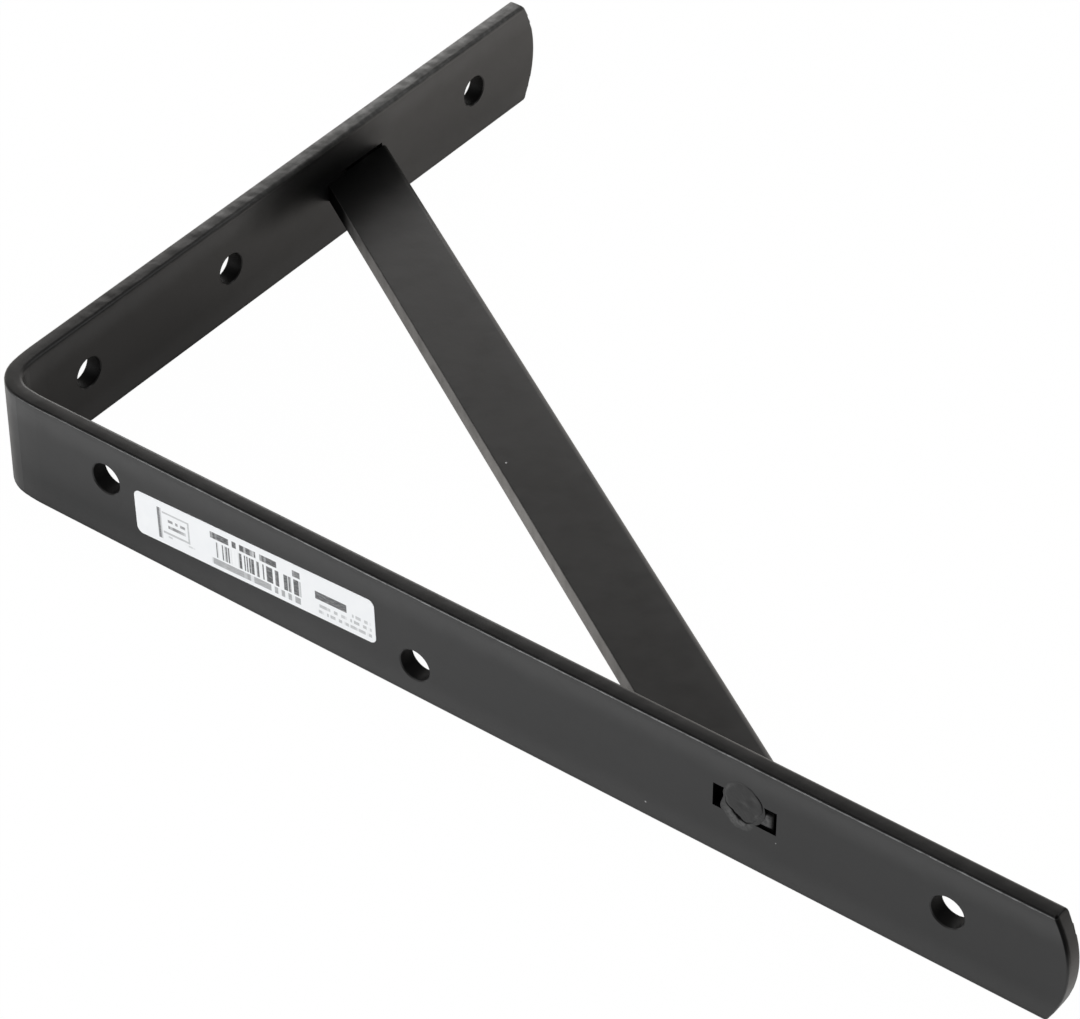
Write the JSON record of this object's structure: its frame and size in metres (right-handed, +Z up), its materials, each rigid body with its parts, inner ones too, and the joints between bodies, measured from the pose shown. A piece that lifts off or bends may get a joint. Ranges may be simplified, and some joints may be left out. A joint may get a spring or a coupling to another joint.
{
  "type": "shelf bracket",
  "caption": "Right-angled flat-bar shelf bracket with a diagonal flat-bar brace, whose tenons are staked into slots in both arms.",
  "frame": {"origin": "mouth of the top screw hole in the wall arm, on the wall plane and the middle of the bar", "axes": "+X out from the wall along the shelf arm, +Z up, +Y across the bar"},
  "size_m": [0.295, 0.0296, 0.205],
  "materials": {
    "bar_paint": "satin black paint on mild steel",
    "brace_paint": "satin black paint on mild steel",
    "label_paper": "smooth white paper sticker"
  },
  "bodies": {
    "root": {"angle_bar": "bar_paint", "brace": "brace_paint"}
  },
  "joints": []
}
